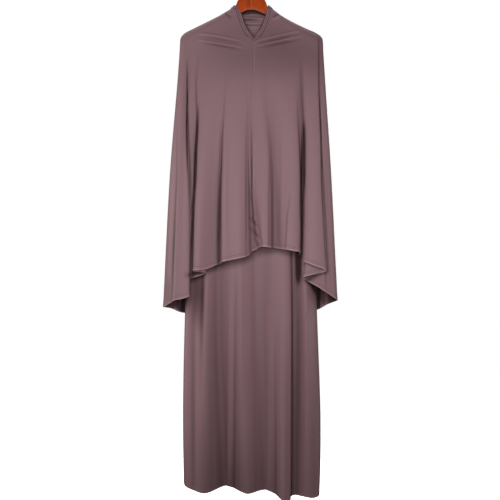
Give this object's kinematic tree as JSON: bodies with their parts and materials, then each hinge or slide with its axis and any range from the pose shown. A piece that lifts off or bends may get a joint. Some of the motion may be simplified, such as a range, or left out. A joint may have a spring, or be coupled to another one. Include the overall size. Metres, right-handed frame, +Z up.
{
  "type": "abaya with hijab on a hanger",
  "caption": "Full-length loose dress under a hip-length cape-shaped head cover with a V opening, in smooth jersey, hanging in soft folds from a wooden clothes hanger.",
  "frame": {"origin": "where the inside of the hook's top bears on a rail", "axes": "+Z up, -Y the way the garment's front faces, +X the wearer's left"},
  "size_m": [0.5248, 0.1958, 1.5706],
  "materials": {
    "jersey": "smooth matt jersey with a soft sheen, mauve brown",
    "hanger_wood": "stained reddish wood under satin varnish",
    "hook_steel": "bright plated wire"
  },
  "bodies": {
    "root": {"hijab_front_left": "jersey", "hijab_front_right": "jersey", "hijab_back": "jersey", "hijab_hood": "jersey", "hijab_face_band": "jersey", "abaya_front": "jersey", "abaya_back": "jersey", "abaya_neck_binding": "jersey", "abaya_sleeve_left": "jersey", "abaya_sleeve_right": "jersey", "hanger_arm_left": "hanger_wood", "hanger_arm_right": "hanger_wood", "hanger_hook": "hook_steel"}
  },
  "joints": []
}
